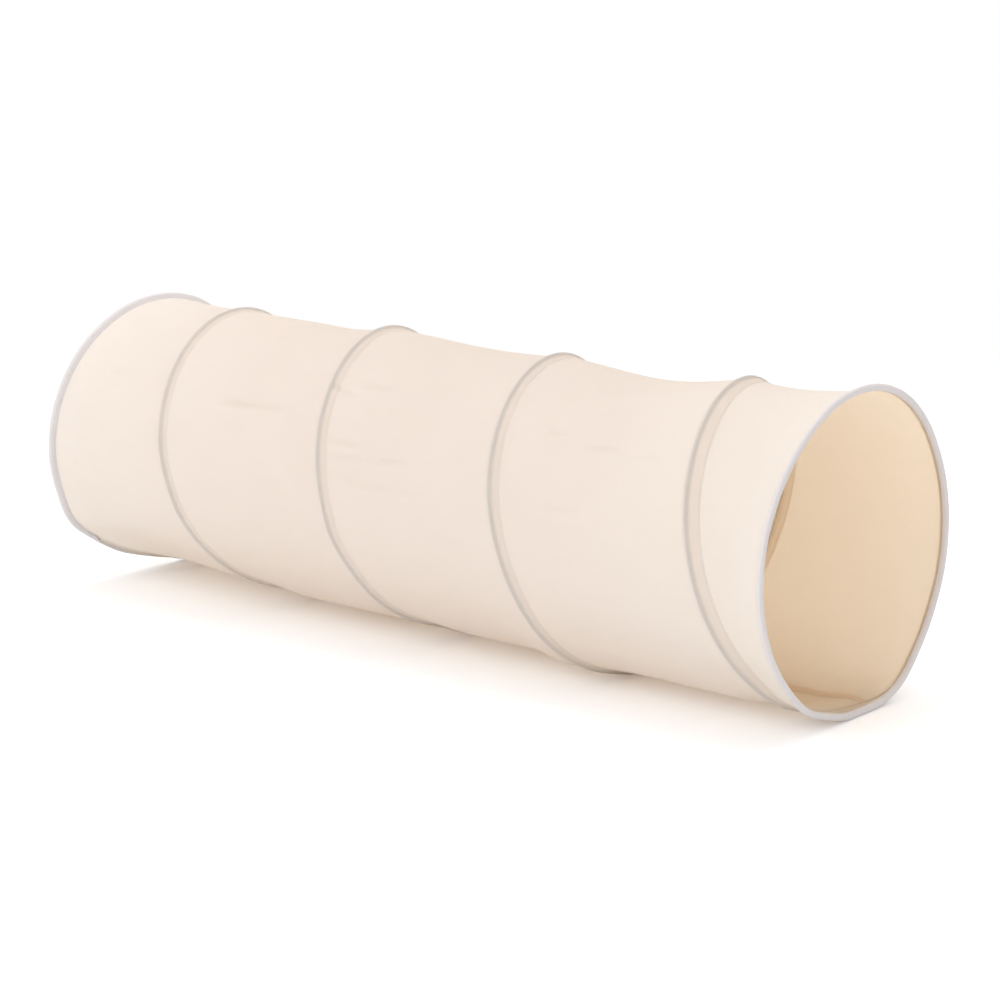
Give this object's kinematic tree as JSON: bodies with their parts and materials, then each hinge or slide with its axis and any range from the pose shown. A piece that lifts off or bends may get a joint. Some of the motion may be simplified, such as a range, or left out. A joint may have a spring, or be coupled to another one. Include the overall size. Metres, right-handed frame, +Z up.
{
  "type": "play tunnel",
  "caption": "Pop-up crawl tunnel of cream cloth, held open by a coil of spring wire in sewn casings, with bound round rims at both ends; it pushes flat lengthwise.",
  "frame": {"origin": "on the floor, under the middle of the tunnel", "axes": "+X along the tunnel towards the near rim, +Y towards the back, +Z up"},
  "size_m": [1.412, 0.4912, 0.4719],
  "materials": {
    "cloth": "thin plain-woven polyester, cream, slightly translucent, matt with a faint sheen",
    "casing": "the same cream cloth doubled into a sewn casing, slightly darker",
    "binding": "folded pale grey-lilac tape, matt",
    "wire": "drawn spring steel, dull",
    "ferrule": "crimped sleeve, dull"
  },
  "bodies": {
    "far_end": {"far_rim_binding": "binding", "far_wire_ferrule": "ferrule", "spring_wire": "wire", "cloth_far_gore": "cloth"},
    "turn_1": {"casing_turn_1": "casing", "cloth_turn_1": "cloth", "seam_tape_1": "casing"},
    "turn_2": {"casing_turn_2": "casing", "cloth_turn_2": "cloth", "seam_tape_2": "casing"},
    "turn_3": {"casing_turn_3": "casing", "cloth_turn_3": "cloth", "seam_tape_3": "casing"},
    "turn_4": {"casing_turn_4": "casing", "seam_tape_4": "casing"},
    "near_end": {"near_rim_binding": "binding", "near_wire_ferrule": "ferrule", "cloth_near_gore": "cloth"}
  },
  "joints": [
    {"name": "collapse", "type": "slide", "parent": "far_end", "child": "near_end", "axis": [1, 0, 0], "range_m": [-1.34, 0], "stiffness_N_per_m": 25, "springref_m": 0.2, "deforming": ["spring_wire", "cloth_far_gore", "cloth_turn_1", "cloth_turn_2", "cloth_turn_3", "cloth_near_gore", "casing_turn_1", "casing_turn_2", "casing_turn_3", "casing_turn_4", "seam_tape_1", "seam_tape_2", "seam_tape_3", "seam_tape_4"]},
    {"name": "turn_1_slide", "type": "slide", "parent": "far_end", "child": "turn_1", "axis": [1, 0, 0], "range_m": [-0.188, 0]},
    {"name": "turn_2_slide", "type": "slide", "parent": "far_end", "child": "turn_2", "axis": [1, 0, 0], "range_m": [-0.537, 0]},
    {"name": "turn_3_slide", "type": "slide", "parent": "far_end", "child": "turn_3", "axis": [1, 0, 0], "range_m": [-0.858, 0]},
    {"name": "turn_4_slide", "type": "slide", "parent": "far_end", "child": "turn_4", "axis": [1, 0, 0], "range_m": [-1.166, 0]}
  ],
  "couplings": [
    {"joint": "turn_1_slide", "follows": "collapse", "ratio": 0.14},
    {"joint": "turn_2_slide", "follows": "collapse", "ratio": 0.4},
    {"joint": "turn_3_slide", "follows": "collapse", "ratio": 0.64},
    {"joint": "turn_4_slide", "follows": "collapse", "ratio": 0.87}
  ]
}
